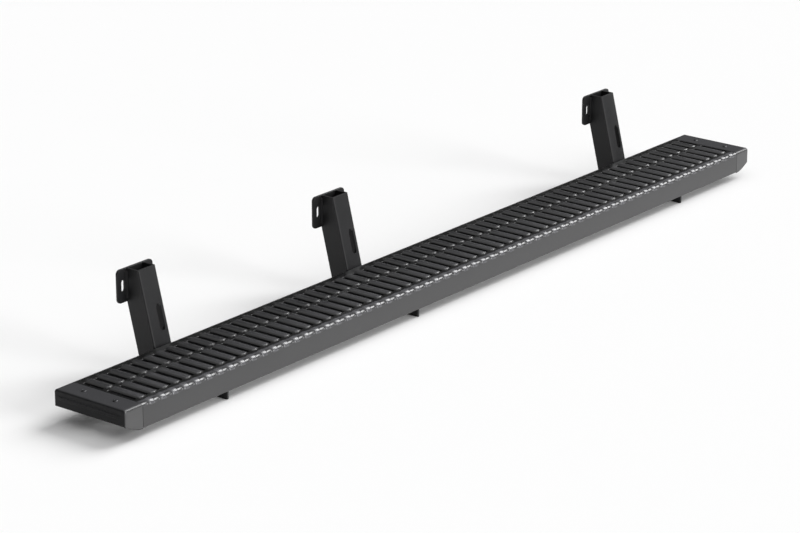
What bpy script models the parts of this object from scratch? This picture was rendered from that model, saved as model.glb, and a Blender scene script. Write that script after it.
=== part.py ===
"""Running board for the side of a pick-up: a pressed tread board on three bolted brackets.

Frame: X runs to the vehicle's rear, Y inboard towards the vehicle, Z up. The origin is on the
ground that the brackets' feet stand on, under the middle of the whole assembly.

Board coordinates, used while modelling: s along the board from its front end, t across it from
the fascia's outer face towards the vehicle, h up from the plain deck between the ridges.
"""

import math

import bmesh
import bpy
from mathutils import Vector

# Board, pressed from one sheet
BOARD_LENGTH = 2.032
BOARD_WIDTH = 0.174
FASCIA_DEPTH = 0.048
INBOARD_DEPTH = 0.032
SHEET = 0.0025
NOSE_RADIUS = 0.006
INBOARD_RADIUS = 0.006
LIP_WIDTH = 0.016
LIP_RADIUS = 0.004
BEND_STEPS = 3

# Tread: transverse ridges with a long slot between each two
RIDGE_PITCH = 0.0305
RIDGE_HEIGHT = 0.0022
RIDGE_FOOT = 0.0185
RIDGE_TOP = 0.0115
RIDGE_END_SLOPE = 0.004
NOSE_STEP = 0.0012
NOSE_RIDGE_END = 0.013
NOSE_ROW = 0.019
OUTBOARD_ROW = 0.079
TREAD_MARGIN = 0.016
SLOT_WIDTH = 0.0086
SLOT_END_LAND = 0.0055
SLOT_BLUNTNESS = 0.42

# End caps, moulded
CAP_LENGTH = 0.048
CAP_WALL = 0.0025
CAP_FACE_DEPTH = 0.033
CAP_STEPS = 4
CAP_EDGE = 0.0018
CAP_RIB_HEIGHT = 0.005
CAP_RIB_PROUD = 0.0015
CAP_RIB_DROP = 0.013
CAP_RIB_INSET = 0.012
CAP_TONGUE = 0.020
CAP_TONGUE_WALL = 0.0025

# Bolt tracks under the deck
TRACK_WIDTH = 0.030
TRACK_WALL = 0.0025
TRACK_MOUTH = 0.011
TRACK_SETBACK = 0.010
OUTBOARD_TRACK_INSET = 0.046
INBOARD_TRACK_INSET = 0.050

# Brackets, folded from plate
FRONT_BRACKET_INSET = 0.275
MIDDLE_BRACKET_PLACE = 0.838
REAR_BRACKET_INSET = 0.267
BRACKET_WIDTH = 0.048
BRACKET_PLATE = 0.0045
BRACKET_FOLD = 0.004
FOOT_DROP = 0.016
ARM_TIP = 0.004
ARM_HOOK = 0.022
UPRIGHT_DEPTH = 0.046
UPRIGHT_LEAN = 0.25
UPRIGHT_RISE = 0.138
HEEL_RADIUS = 0.022
WINDOW_WIDTH = 0.013
WINDOW_LENGTH = 0.052
WINDOW_BASE = 0.018
WINDOW_OFFSET = 0.009
ARM_SLOT_WIDTH = 0.009
ARM_SLOT_LENGTH = 0.020

# Plates that bolt to the vehicle
PLATE_WIDTH = 0.096
PLATE_HEIGHT = 0.066
PLATE_THICKNESS = 0.005
PLATE_CORNER = 0.008
PLATE_SLOT_WIDTH = 0.009
PLATE_SLOT_LENGTH = 0.024
PLATE_SLOT_SPACING = 0.066

# Fasteners
BOLT_DIAMETER = 0.008
BOLT_HEAD_SIDE = 0.020
BOLT_HEAD_HEIGHT = 0.005
BOLT_TAIL = 0.005
WASHER_DIAMETER = 0.017
WASHER_THICKNESS = 0.0016
NUT_ACROSS_FLATS = 0.013
NUT_HEIGHT = 0.0068
NUT_SIDES = 6
SCREW_HEAD_DIAMETER = 0.0095
SCREW_HEAD_HEIGHT = 0.0016
SCREW_HEAD_DOME = ((0, 1), (0.6, 0.92), (1, 0.62))
SCREW_DIAMETER = 0.0042
SCREW_LENGTH = 0.012
SCREW_INSET = 0.027
ROUND_SIDES = 10

# Clearances
SEAT_GAP = 0.0003
SHANK_GAP = 0.0003
UPRIGHT_CLEARANCE = 0.003
TONGUE_CLEARANCE = 0.003

# Places that follow from the sizes above
STEEL_START = CAP_LENGTH + SEAT_GAP
STEEL_END = BOARD_LENGTH - STEEL_START
SLOT_CELL = RIDGE_PITCH - RIDGE_FOOT
SLOT_COUNT = int((STEEL_END - STEEL_START - SLOT_CELL) / RIDGE_PITCH) + 1
FIRST_SLOT = (BOARD_LENGTH - (SLOT_COUNT - 1) * RIDGE_PITCH) / 2
ROW_EDGES = (NOSE_ROW, NOSE_ROW + OUTBOARD_ROW, BOARD_WIDTH - TREAD_MARGIN)
TREAD_ROWS = len(ROW_EDGES) - 1
FLOOR = -(FASCIA_DEPTH + FOOT_DROP)
OUTBOARD_TRACK = OUTBOARD_TRACK_INSET
INBOARD_TRACK = BOARD_WIDTH - INBOARD_TRACK_INSET
TRACK_TOP = -(max(SHEET, CAP_WALL) + SEAT_GAP)
TRACK_BOTTOM = -INBOARD_DEPTH
ARM_TOP = TRACK_BOTTOM - SEAT_GAP
UPRIGHT_BASE = BOARD_WIDTH + UPRIGHT_CLEARANCE
PLATE_BOTTOM = UPRIGHT_RISE - PLATE_HEIGHT
PLATE_MIDDLE = UPRIGHT_RISE - PLATE_HEIGHT / 2
PLATE_FACE = UPRIGHT_BASE + UPRIGHT_LEAN * (PLATE_BOTTOM + INBOARD_DEPTH) + UPRIGHT_DEPTH
PLATE_BACK = PLATE_FACE + SEAT_GAP + PLATE_THICKNESS
MIDDLE_T = (PLATE_BACK - RIDGE_HEIGHT) / 2


def world(s, t, h):
    """A point given in board coordinates, in the frame of the whole part."""
    return Vector((s - BOARD_LENGTH / 2, t - MIDDLE_T, h - FLOOR))


class Shell:
    """Collects faces given by their corners in board coordinates, sharing equal corners."""

    def __init__(self):
        self.mesh = bmesh.new()
        self.corners = {}

    def corner(self, point):
        key = tuple(round(value, 7) for value in point)
        if key not in self.corners:
            self.corners[key] = self.mesh.verts.new(world(*point))
        return self.corners[key]

    def face(self, *points):
        self.mesh.faces.new([self.corner(point) for point in points])

    def loft(self, rings):
        """Bands between successive rings of as many points, with both ends closed."""
        for low, high in zip(rings, rings[1:]):
            for k in range(len(low)):
                following = (k + 1) % len(low)
                self.face(low[k], low[following], high[following], high[k])
        self.face(*rings[0])
        self.face(*rings[-1])

    def tube(self, outer, inner):
        """A ring-shaped body between two stacks of rings that share both of their ends."""
        stack = outer + inner[::-1] + outer[:1]
        for low, high in zip(stack, stack[1:]):
            for k in range(len(low)):
                following = (k + 1) % len(low)
                self.face(low[k], low[following], high[following], high[k])

    def finish(self, name, material):
        bmesh.ops.recalc_face_normals(self.mesh, faces=self.mesh.faces)
        data = bpy.data.meshes.new(name)
        self.mesh.to_mesh(data)
        self.mesh.free()
        data.materials.append(material)
        data.shade_smooth()
        data.set_sharp_from_angle(angle=math.radians(32))
        made = bpy.data.objects.new(name, data)
        bpy.context.collection.objects.link(made)
        return made


def finish_material(name, colour, roughness, metallic):
    material = bpy.data.materials.new(name)
    material.use_nodes = True
    shader = material.node_tree.nodes["Principled BSDF"]
    shader.inputs["Base Color"].default_value = (*colour, 1)
    shader.inputs["Roughness"].default_value = roughness
    shader.inputs["Metallic"].default_value = metallic
    return material


def arc(centre, radius, start, end, steps=BEND_STEPS):
    """Points of an arc in a plane, from one angle in degrees to another."""
    points = []
    for k in range(steps + 1):
        angle = math.radians(start + (end - start) * k / steps)
        points.append((centre[0] + radius * math.cos(angle), centre[1] + radius * math.sin(angle)))
    return points


def prism(name, outline, place, material):
    """An outline carried along a straight way; place(u, v, end) gives each corner's position."""
    shell = Shell()
    shell.loft([[place(u, v, end) for u, v in outline] for end in (0, 1)])
    return shell.finish(name, material)


def helper(made):
    made.hide_render = True
    made.display_type = "WIRE"
    return made


def combine(target, other, operation):
    """A join to a helper or a cut by one."""
    step = target.modifiers.new(other.name, "BOOLEAN")
    step.operation = operation
    step.object = helper(other)
    step.solver = "EXACT"


def obround(width, length, steps=BEND_STEPS):
    """Outline of a slot with round ends, its length along the second axis."""
    reach = (length - width) / 2
    return arc((0, reach), width / 2, 0, 180, steps) + arc((0, -reach), width / 2, 180, 360, steps)


def outer_offset_path(depth):
    """The board's section from the outboard lip round to the inboard lip, that far into the sheet."""
    low = (LIP_RADIUS, LIP_RADIUS - FASCIA_DEPTH)
    path = [(LIP_WIDTH, depth - FASCIA_DEPTH)]
    path += arc(low, LIP_RADIUS - depth, 270, 180)
    path += arc((NOSE_RADIUS, -NOSE_RADIUS), NOSE_RADIUS - depth, 180, 90)
    path += arc((BOARD_WIDTH - INBOARD_RADIUS, -INBOARD_RADIUS), INBOARD_RADIUS - depth, 90, 0)
    low = (BOARD_WIDTH - LIP_RADIUS, LIP_RADIUS - INBOARD_DEPTH)
    path += arc(low, LIP_RADIUS - depth, 0, -90)
    path.append((BOARD_WIDTH - LIP_WIDTH, depth - INBOARD_DEPTH))
    return path


def ridge_lines(k):
    """Foot, top, top and foot of ridge k along the board."""
    middle = FIRST_SLOT + (k + 0.5) * RIDGE_PITCH
    return (
        middle - RIDGE_FOOT / 2,
        middle - RIDGE_TOP / 2,
        middle + RIDGE_TOP / 2,
        middle + RIDGE_FOOT / 2,
    )


def slot_span(k):
    """Where the plain cell of slot k starts and ends; the outer cells reach the sheet's ends."""
    start = STEEL_START if k == 0 else ridge_lines(k - 1)[3]
    end = STEEL_END if k == SLOT_COUNT - 1 else ridge_lines(k)[0]
    return start, end


def slot_outline(k, row):
    """Eight corners of a slot: its long sides with a blunt round at both ends."""
    middle = FIRST_SLOT + k * RIDGE_PITCH
    start, end = ROW_EDGES[row], ROW_EDGES[row + 1]
    half = SLOT_WIDTH / 2
    blunt = SLOT_BLUNTNESS * half
    first, last = start + SLOT_END_LAND, end - SLOT_END_LAND
    return [
        (middle - half, first + half),
        (middle - blunt, first),
        (middle + blunt, first),
        (middle + half, first + half),
        (middle + half, last - half),
        (middle + blunt, last),
        (middle - blunt, last),
        (middle - half, last - half),
    ]


def slot_cell(shell, k, row, h):
    """The flat cell around one slot, on either side of the sheet."""
    left, right = slot_span(k)
    near, far = ROW_EDGES[row], ROW_EDGES[row + 1]
    rim = [(s, t, h) for s, t in slot_outline(k, row)]
    corners = [(left, near, h), (right, near, h), (right, far, h), (left, far, h)]
    shell.face(corners[0], corners[1], rim[2], rim[1])
    shell.face(corners[1], rim[3], rim[2])
    shell.face(corners[1], corners[2], rim[4], rim[3])
    shell.face(corners[2], rim[5], rim[4])
    shell.face(corners[2], corners[3], rim[6], rim[5])
    shell.face(corners[3], rim[7], rim[6])
    shell.face(corners[3], corners[0], rim[0], rim[7])
    shell.face(corners[0], rim[1], rim[0])


def slot_walls(shell, k, row):
    rim = slot_outline(k, row)
    for (s0, t0), (s1, t1) in zip(rim, rim[1:] + rim[:1]):
        shell.face((s0, t0, 0), (s1, t1, 0), (s1, t1, -SHEET), (s0, t0, -SHEET))


def row_ridge(shell, k, row, h, joined):
    """A raised bar of one row. Joined is true where the nose's ridge ends at the bar's foot."""
    foot_a, top_a, top_b, foot_b = ridge_lines(k)
    near, far = ROW_EDGES[row], ROW_EDGES[row + 1]
    crest = h + RIDGE_HEIGHT
    near_a, near_b = (foot_a, near, h), (foot_b, near, h)
    far_a, far_b = (foot_a, far, h), (foot_b, far, h)
    near_top, far_top = near + RIDGE_END_SLOPE, far - RIDGE_END_SLOPE
    crest_near_a, crest_near_b = (top_a, near_top, crest), (top_b, near_top, crest)
    crest_far_a, crest_far_b = (top_a, far_top, crest), (top_b, far_top, crest)
    shell.face(crest_near_a, crest_near_b, crest_far_b, crest_far_a)
    shell.face(near_a, crest_near_a, crest_far_a, far_a)
    shell.face(near_b, far_b, crest_far_b, crest_near_b)
    shell.face(far_a, crest_far_a, crest_far_b, far_b)
    between = [(top_a, near, h), (top_b, near, h)] if joined else []
    shell.face(near_a, *between, near_b, crest_near_b, crest_near_a)


def nose_ridge(shell, k):
    """A raised bar that runs over the nose and ends in a small step on the fascia."""
    foot_a, top_a, top_b, foot_b = ridge_lines(k)
    centre = (NOSE_RADIUS, -NOSE_RADIUS)
    base = [(0, -NOSE_RADIUS - NOSE_STEP)] + arc(centre, NOSE_RADIUS, 180, 90)
    raised = base[:1] + arc(centre, NOSE_RADIUS + RIDGE_HEIGHT, 180, 90)
    for (t0, h0), (t1, h1), (u0, v0), (u1, v1) in zip(base, base[1:], raised, raised[1:]):
        shell.face((foot_a, t0, h0), (top_a, u0, v0), (top_a, u1, v1), (foot_a, t1, h1))
        shell.face((top_a, u0, v0), (top_b, u0, v0), (top_b, u1, v1), (top_a, u1, v1))
        shell.face((top_b, u0, v0), (foot_b, t0, h0), (foot_b, t1, h1), (top_b, u1, v1))
    crest, end = RIDGE_HEIGHT, NOSE_RIDGE_END
    start = NOSE_RADIUS
    shell.face((top_a, start, crest), (top_b, start, crest), (top_b, end, crest), (top_a, end, crest))
    shell.face((foot_a, start, 0), (top_a, start, crest), (top_a, end, crest), (foot_a, NOSE_ROW, 0))
    shell.face((top_b, start, crest), (foot_b, start, 0), (foot_b, NOSE_ROW, 0), (top_b, end, crest))
    shell.face((top_a, end, crest), (top_b, end, crest), (top_b, NOSE_ROW, 0), (top_a, NOSE_ROW, 0))
    shell.face((foot_a, NOSE_ROW, 0), (top_a, end, crest), (top_a, NOSE_ROW, 0))
    shell.face((foot_b, NOSE_ROW, 0), (top_b, NOSE_ROW, 0), (top_b, end, crest))


def nose_valley(shell, k):
    """The plain nose and deck between two of its ridges."""
    left, right = slot_span(k)
    line = [(0, -NOSE_RADIUS - NOSE_STEP)] + arc((NOSE_RADIUS, -NOSE_RADIUS), NOSE_RADIUS, 180, 90)
    line.append((NOSE_ROW, 0))
    for (t0, h0), (t1, h1) in zip(line, line[1:]):
        shell.face((left, t0, h0), (right, t0, h0), (right, t1, h1), (left, t1, h1))


def foot_line_stations():
    """Where ridges' feet and the sheet's ends cross the tread's long edges."""
    stations = [STEEL_START]
    for k in range(SLOT_COUNT - 1):
        lines = ridge_lines(k)
        stations += [lines[0], lines[3]]
    return stations + [STEEL_END]


def long_strip(shell, stations, fixed, far):
    """A flat strip along the board, whose near edge has all the stations and whose far edge has two."""
    near_edge = [(s, *fixed) for s in stations]
    shell.face(*near_edge, (STEEL_END, *far), (STEEL_START, *far))


def tread_board(material):
    shell = Shell()
    feet = foot_line_stations()
    for k in range(SLOT_COUNT):
        nose_valley(shell, k)
        for row in range(TREAD_ROWS):
            slot_cell(shell, k, row, 0)
            slot_cell(shell, k, row, -SHEET)
            slot_walls(shell, k, row)
    for k in range(SLOT_COUNT - 1):
        nose_ridge(shell, k)
        for row in range(TREAD_ROWS):
            row_ridge(shell, k, row, 0, row == 0)
            row_ridge(shell, k, row, -SHEET, False)
    outer, inner = outer_offset_path(0), outer_offset_path(SHEET)
    fascia_foot = 1 + BEND_STEPS
    deck_start = fascia_foot + 1 + BEND_STEPS
    deck_end = deck_start + 1
    under_nose = [STEEL_START]
    for k in range(SLOT_COUNT - 1):
        under_nose += ridge_lines(k)
    under_nose.append(STEEL_END)
    tread_end = ROW_EDGES[-1]
    step_foot = (0, -NOSE_RADIUS - NOSE_STEP)
    long_strip(shell, under_nose, step_foot, outer[fascia_foot])
    long_strip(shell, feet, (tread_end, 0), outer[deck_end])
    long_strip(shell, feet, (tread_end, -SHEET), inner[deck_end])
    long_strip(shell, feet, (NOSE_ROW, -SHEET), inner[deck_start])
    whole = list(range(fascia_foot)) + list(range(deck_end, len(outer) - 1))
    for k in whole:
        long_quad(shell, outer[k], outer[k + 1])
    for k in list(range(deck_start)) + list(range(deck_end, len(inner) - 1)):
        long_quad(shell, inner[k], inner[k + 1])
    long_quad(shell, outer[0], inner[0])
    long_quad(shell, outer[-1], inner[-1])
    outer_end = outer[: fascia_foot + 1] + [step_foot] + outer[fascia_foot + 1 : deck_start + 1]
    outer_end += [(t, 0) for t in ROW_EDGES] + outer[deck_end:]
    inner_end = inner[: deck_start + 1] + [(t, -SHEET) for t in ROW_EDGES] + inner[deck_end:]
    for s in (STEEL_START, STEEL_END):
        shell.face(*[(s, t, h) for t, h in outer_end + inner_end[::-1]])
    return shell.finish("tread_board", material)


def long_quad(shell, one, other):
    """A flat strip as long as the sheet."""
    shell.face((STEEL_START, *one), (STEEL_END, *one), (STEEL_END, *other), (STEEL_START, *other))


def cap_section(s, depth, inset):
    """The cap's section at a place along it: closed below, its outboard side deeper."""
    low, inboard_low = inset - depth, inset - INBOARD_DEPTH
    nose = arc((NOSE_RADIUS, -NOSE_RADIUS), NOSE_RADIUS - inset, 180, 90)
    inboard = arc((BOARD_WIDTH - INBOARD_RADIUS, -INBOARD_RADIUS), INBOARD_RADIUS - inset, 90, 0)
    outline = [(inset, low)] + nose + inboard + [(BOARD_WIDTH - inset, inboard_low)]
    outline += [(LIP_WIDTH, inboard_low), (LIP_WIDTH, low)]
    return [(s, t, h) for t, h in outline]


def end_cap(name, place, material):
    """A moulded shell, open towards the board, flush with it and held by two screws."""
    start = CAP_RIB_PROUD + CAP_EDGE
    rings = [cap_section(place(CAP_RIB_PROUD), CAP_FACE_DEPTH, CAP_EDGE)]
    for k in range(CAP_STEPS + 1):
        share = k / CAP_STEPS
        depth = CAP_FACE_DEPTH + (FASCIA_DEPTH - CAP_FACE_DEPTH) * math.sin(share * math.pi / 2)
        rings.append(cap_section(place(start + (CAP_LENGTH - start) * share), depth, 0))
    shell = Shell()
    shell.loft(rings)
    cap = shell.finish(name, material)
    combine(cap, cap_rib(name, place, material), "UNION")
    combine(cap, cap_hollow(name, place, material), "DIFFERENCE")
    combine(cap, cap_tongue(name, place, material), "UNION")
    for side, t in (("outboard", OUTBOARD_TRACK), ("inboard", INBOARD_TRACK)):
        hole = screw_hole(f"{name}_{side}_hole", place(SCREW_INSET), t, material)
        combine(cap, hole, "DIFFERENCE")
    return cap


def cap_rib(name, place, material):
    """The rib across the cap's face."""
    outline = [
        (CAP_RIB_INSET, -CAP_RIB_DROP),
        (BOARD_WIDTH - CAP_RIB_INSET, -CAP_RIB_DROP),
        (BOARD_WIDTH - CAP_RIB_INSET, -CAP_RIB_DROP - CAP_RIB_HEIGHT),
        (CAP_RIB_INSET, -CAP_RIB_DROP - CAP_RIB_HEIGHT),
    ]
    ends = (place(0), place(CAP_RIB_PROUD + CAP_WALL / 2))
    return prism(f"{name}_rib", outline, lambda t, h, end: (ends[end], t, h), material)


def cap_hollow(name, place, material):
    """What is taken out behind the cap's face, open to the board and below."""
    shell = Shell()
    wall = CAP_WALL
    start, past = place(CAP_RIB_PROUD + wall), place(CAP_LENGTH + wall)
    sides = (wall, BOARD_WIDTH - wall)
    below = -FASCIA_DEPTH - wall
    shell.loft([[(s, t, h) for t, h in hollow_outline(sides, below)] for s in (start, past)])
    return shell.finish(f"{name}_hollow", material)


def hollow_outline(sides, below):
    nose = arc((NOSE_RADIUS, -NOSE_RADIUS), NOSE_RADIUS - CAP_WALL, 180, 90)
    inboard = arc((BOARD_WIDTH - INBOARD_RADIUS, -INBOARD_RADIUS), INBOARD_RADIUS - CAP_WALL, 90, 0)
    return [(sides[0], below)] + nose + inboard + [(sides[1], below)]


def cap_tongue(name, place, material):
    """The cap's tongue, which slides under the deck between the two tracks."""
    near = OUTBOARD_TRACK + TRACK_WIDTH / 2 + TONGUE_CLEARANCE
    far = INBOARD_TRACK - TRACK_WIDTH / 2 - TONGUE_CLEARANCE
    outline = [
        (near, TRACK_TOP),
        (far, TRACK_TOP),
        (far, TRACK_TOP - CAP_TONGUE_WALL),
        (near, TRACK_TOP - CAP_TONGUE_WALL),
    ]
    ends = (place(CAP_RIB_PROUD + CAP_WALL / 2), place(CAP_LENGTH + CAP_TONGUE))
    return prism(f"{name}_tongue", outline, lambda t, h, end: (ends[end], t, h), material)


def screw_hole(name, s, t, material):
    radius = SCREW_DIAMETER / 2 + SHANK_GAP
    top, bottom = SCREW_HEAD_HEIGHT, -2 * SCREW_LENGTH
    shell = Shell()
    shell.loft([round_ring(s, t, h, radius) for h in (top, bottom)])
    return shell.finish(name, material)


def round_ring(s, t, h, radius, sides=ROUND_SIDES):
    ring = []
    for k in range(sides):
        angle = 2 * math.pi * (k + 0.5) / sides
        ring.append((s + radius * math.cos(angle), t + radius * math.sin(angle), h))
    return ring


def track(name, t, material):
    """A channel that carries the bolts' heads, open below between two lips."""
    half, mouth = TRACK_WIDTH / 2, TRACK_MOUTH / 2
    inner_top, inner_bottom = TRACK_TOP - TRACK_WALL, TRACK_BOTTOM + TRACK_WALL
    right = [
        (mouth, TRACK_BOTTOM),
        (half, TRACK_BOTTOM),
        (half, TRACK_TOP),
    ]
    inside = [
        (half - TRACK_WALL, inner_top),
        (half - TRACK_WALL, inner_bottom),
        (mouth, inner_bottom),
    ]
    outline = right + [(-u, h) for u, h in right[::-1]] + [(-u, h) for u, h in inside[::-1]] + inside
    ends = (TRACK_SETBACK, BOARD_LENGTH - TRACK_SETBACK)
    made = prism(name, outline, lambda u, h, end: (ends[end], t + u, h), material)
    for end, s in (("front", SCREW_INSET), ("rear", BOARD_LENGTH - SCREW_INSET)):
        combine(made, screw_hole(f"{name}_{end}_hole", s, t, material), "DIFFERENCE")
    return made


def upright_line(h):
    """How far inboard the upright's outer face lies at a height."""
    return UPRIGHT_BASE + UPRIGHT_LEAN * (h + INBOARD_DEPTH)


def inboard_edge(h):
    """How far inboard the upright's cheeks reach at a height."""
    return min(upright_line(h) + UPRIGHT_DEPTH, PLATE_FACE)


def cheek_outline(low, foot):
    """The upright's side, from its top down to a level, with a foot along the ground if asked."""
    fold = BRACKET_PLATE / 2
    outline = [
        (upright_line(UPRIGHT_RISE) + fold, UPRIGHT_RISE),
        (PLATE_FACE, UPRIGHT_RISE),
        (PLATE_FACE, PLATE_BOTTOM),
    ]
    if not foot:
        outline.append((inboard_edge(low), low))
        outline.append((upright_line(low) + fold, low))
        return outline
    heel = inboard_edge(FLOOR + HEEL_RADIUS)
    outline += arc((heel - HEEL_RADIUS, FLOOR + HEEL_RADIUS), HEEL_RADIUS, 0, -90, 2 * BEND_STEPS)
    hook_top = -FASCIA_DEPTH - SEAT_GAP
    outline += [
        (ARM_TIP, FLOOR),
        (ARM_TIP, hook_top),
        (ARM_HOOK, hook_top),
        (ARM_HOOK, ARM_TOP - fold),
        (upright_line(ARM_TOP - fold) + fold, ARM_TOP - fold),
    ]
    return outline


def folded_strip(width, thickness):
    """Section of a folded plate between its two bends: square inside, rounded outside."""
    points = arc((BRACKET_FOLD, BRACKET_FOLD), BRACKET_FOLD, 180, 270)
    points += arc((width - BRACKET_FOLD, BRACKET_FOLD), BRACKET_FOLD, 270, 360)
    return points + [(width, thickness), (0, thickness)]


def bracket(place, s, material):
    """A one-piece folded bracket: a side plate with its arm under the board, and the upright."""
    name = f"{place}_bracket"
    wall = BRACKET_PLATE
    near, far = s, s + BRACKET_WIDTH
    side = cheek_outline(FLOOR, True)
    made = prism(name, side, lambda t, h, end: (near + end * wall, t, h), material)
    rear = cheek_outline(ARM_TOP - wall, False)
    rear_cheek = prism(f"{name}_rear_cheek", rear, lambda t, h, end: (far - end * wall, t, h), material)
    combine(made, rear_cheek, "UNION")
    web = prism(
        f"{name}_web",
        folded_strip(BRACKET_WIDTH, wall),
        lambda u, v, end: web_point(near + u, v, end),
        material,
    )
    combine(made, web, "UNION")
    arm = prism(
        f"{name}_arm",
        folded_strip(BRACKET_WIDTH, wall),
        lambda u, v, end: (near + u, arm_ends()[end], ARM_TOP - v),
        material,
    )
    combine(made, arm, "UNION")
    window = prism(
        f"{name}_window",
        obround(WINDOW_WIDTH, WINDOW_LENGTH),
        lambda u, v, end: window_point(near + u, v, end),
        material,
    )
    combine(made, window, "DIFFERENCE")
    for side_name, t in (("outboard", OUTBOARD_TRACK), ("inboard", INBOARD_TRACK)):
        slot = prism(
            f"{name}_{side_name}_slot",
            obround(ARM_SLOT_WIDTH, ARM_SLOT_LENGTH),
            lambda u, v, end, t=t: (bolt_line(s) + u, t + v, ARM_TOP + (1 - 3 * end) * wall),
            material,
        )
        combine(made, slot, "DIFFERENCE")
    return made


def arm_ends():
    return ARM_HOOK, upright_line(ARM_TOP) + BRACKET_PLATE / 2


def web_point(s, v, end):
    """The upright's outer wall, from just under the arm's top to the upright's top."""
    h = (ARM_TOP - BRACKET_PLATE / 2, UPRIGHT_RISE)[end]
    return s, upright_line(h) + v, h


def window_point(s, v, end):
    """The window through the upright's outer wall, along its lean."""
    h = WINDOW_BASE + WINDOW_LENGTH / 2 + v
    t = upright_line(h) + (3 * end - 1) * BRACKET_PLATE
    return s + BRACKET_WIDTH / 2 + WINDOW_OFFSET, t, h


def bolt_line(s):
    """Where a bracket's bolts stand along the board: midway between its side and its edge."""
    return s + (BRACKET_PLATE + BRACKET_WIDTH) / 2


def body_plate(place, s, material):
    """The flat plate that bolts to the vehicle, welded across the upright's cheeks."""
    name = f"{place}_body_plate"
    middle = s + BRACKET_WIDTH / 2
    half, rise, corner = PLATE_WIDTH / 2, PLATE_HEIGHT / 2, PLATE_CORNER
    outline = arc((half - corner, rise - corner), corner, 0, 90)
    outline += arc((corner - half, rise - corner), corner, 90, 180)
    outline += arc((corner - half, corner - rise), corner, 180, 270)
    outline += arc((half - corner, corner - rise), corner, 270, 360)
    ends = (PLATE_FACE + SEAT_GAP, PLATE_BACK)
    made = prism(
        name, outline, lambda u, v, end: (middle + u, ends[end], PLATE_MIDDLE + v), material
    )
    through = (PLATE_FACE - PLATE_THICKNESS, PLATE_BACK + PLATE_THICKNESS)
    for side_name, way in (("front", -1), ("rear", 1)):
        hole = prism(
            f"{name}_{side_name}_slot",
            obround(PLATE_SLOT_WIDTH, PLATE_SLOT_LENGTH),
            lambda u, v, end, way=way: (
                middle + way * PLATE_SLOT_SPACING / 2 + u,
                through[end],
                PLATE_MIDDLE + v,
            ),
            material,
        )
        combine(made, hole, "DIFFERENCE")
    return made


def square_ring(s, t, h, side):
    """Points round a square in step with a round ring's."""
    ring = []
    for k in range(ROUND_SIDES):
        angle = 2 * math.pi * (k + 0.5) / ROUND_SIDES
        reach = side / 2 / max(abs(math.cos(angle)), abs(math.sin(angle)))
        ring.append((s + reach * math.cos(angle), t + reach * math.sin(angle), h))
    return ring


def track_bolt(name, s, t, material):
    """A bolt whose flat head rides inside the track."""
    head_seat = TRACK_BOTTOM + TRACK_WALL + SEAT_GAP
    head_top = head_seat + BOLT_HEAD_HEIGHT
    tail = nut_bottom() - BOLT_TAIL
    shell = Shell()
    shell.loft(
        [
            square_ring(s, t, head_top, BOLT_HEAD_SIDE),
            square_ring(s, t, head_seat, BOLT_HEAD_SIDE),
            round_ring(s, t, head_seat, BOLT_DIAMETER / 2),
            round_ring(s, t, tail, BOLT_DIAMETER / 2),
        ]
    )
    return shell.finish(name, material)


def washer_top():
    return ARM_TOP - BRACKET_PLATE - SEAT_GAP


def nut_top():
    return washer_top() - WASHER_THICKNESS - SEAT_GAP


def nut_bottom():
    return nut_top() - NUT_HEIGHT


def washer(name, s, t, material):
    bore = BOLT_DIAMETER / 2 + SHANK_GAP
    levels = (washer_top(), washer_top() - WASHER_THICKNESS)
    shell = Shell()
    outer = [round_ring(s, t, h, WASHER_DIAMETER / 2) for h in levels]
    inner = [round_ring(s, t, h, bore) for h in levels]
    shell.tube(outer, inner)
    return shell.finish(name, material)


def nut(name, s, t, material):
    """A hexagon nut; its outline has a point at each corner and at the middle of each flat."""
    bore = BOLT_DIAMETER / 2 + SHANK_GAP
    flat = NUT_ACROSS_FLATS / 2
    corner = flat / math.cos(math.pi / NUT_SIDES)
    angles = [math.pi * k / NUT_SIDES for k in range(2 * NUT_SIDES)]
    outer, inner = [], []
    for h in (nut_top(), nut_bottom()):
        hexagon = []
        for k, angle in enumerate(angles):
            reach = flat if k % 2 else corner
            hexagon.append((s + reach * math.cos(angle), t + reach * math.sin(angle), h))
        outer.append(hexagon)
        inner.append([(s + bore * math.cos(a), t + bore * math.sin(a), h) for a in angles])
    shell = Shell()
    shell.tube(outer, inner)
    return shell.finish(name, material)


def cap_screw(name, s, t, material):
    """A low round-headed screw through the cap into the track."""
    radius = SCREW_HEAD_DIAMETER / 2
    shell = Shell()
    rings = [round_ring(s, t, h, SCREW_DIAMETER / 2) for h in (-SCREW_LENGTH, SEAT_GAP)]
    for rise, reach in SCREW_HEAD_DOME:
        rings.append(round_ring(s, t, SEAT_GAP + rise * SCREW_HEAD_HEIGHT, reach * radius))
    shell.loft(rings)
    return shell.finish(name, material)


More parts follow.
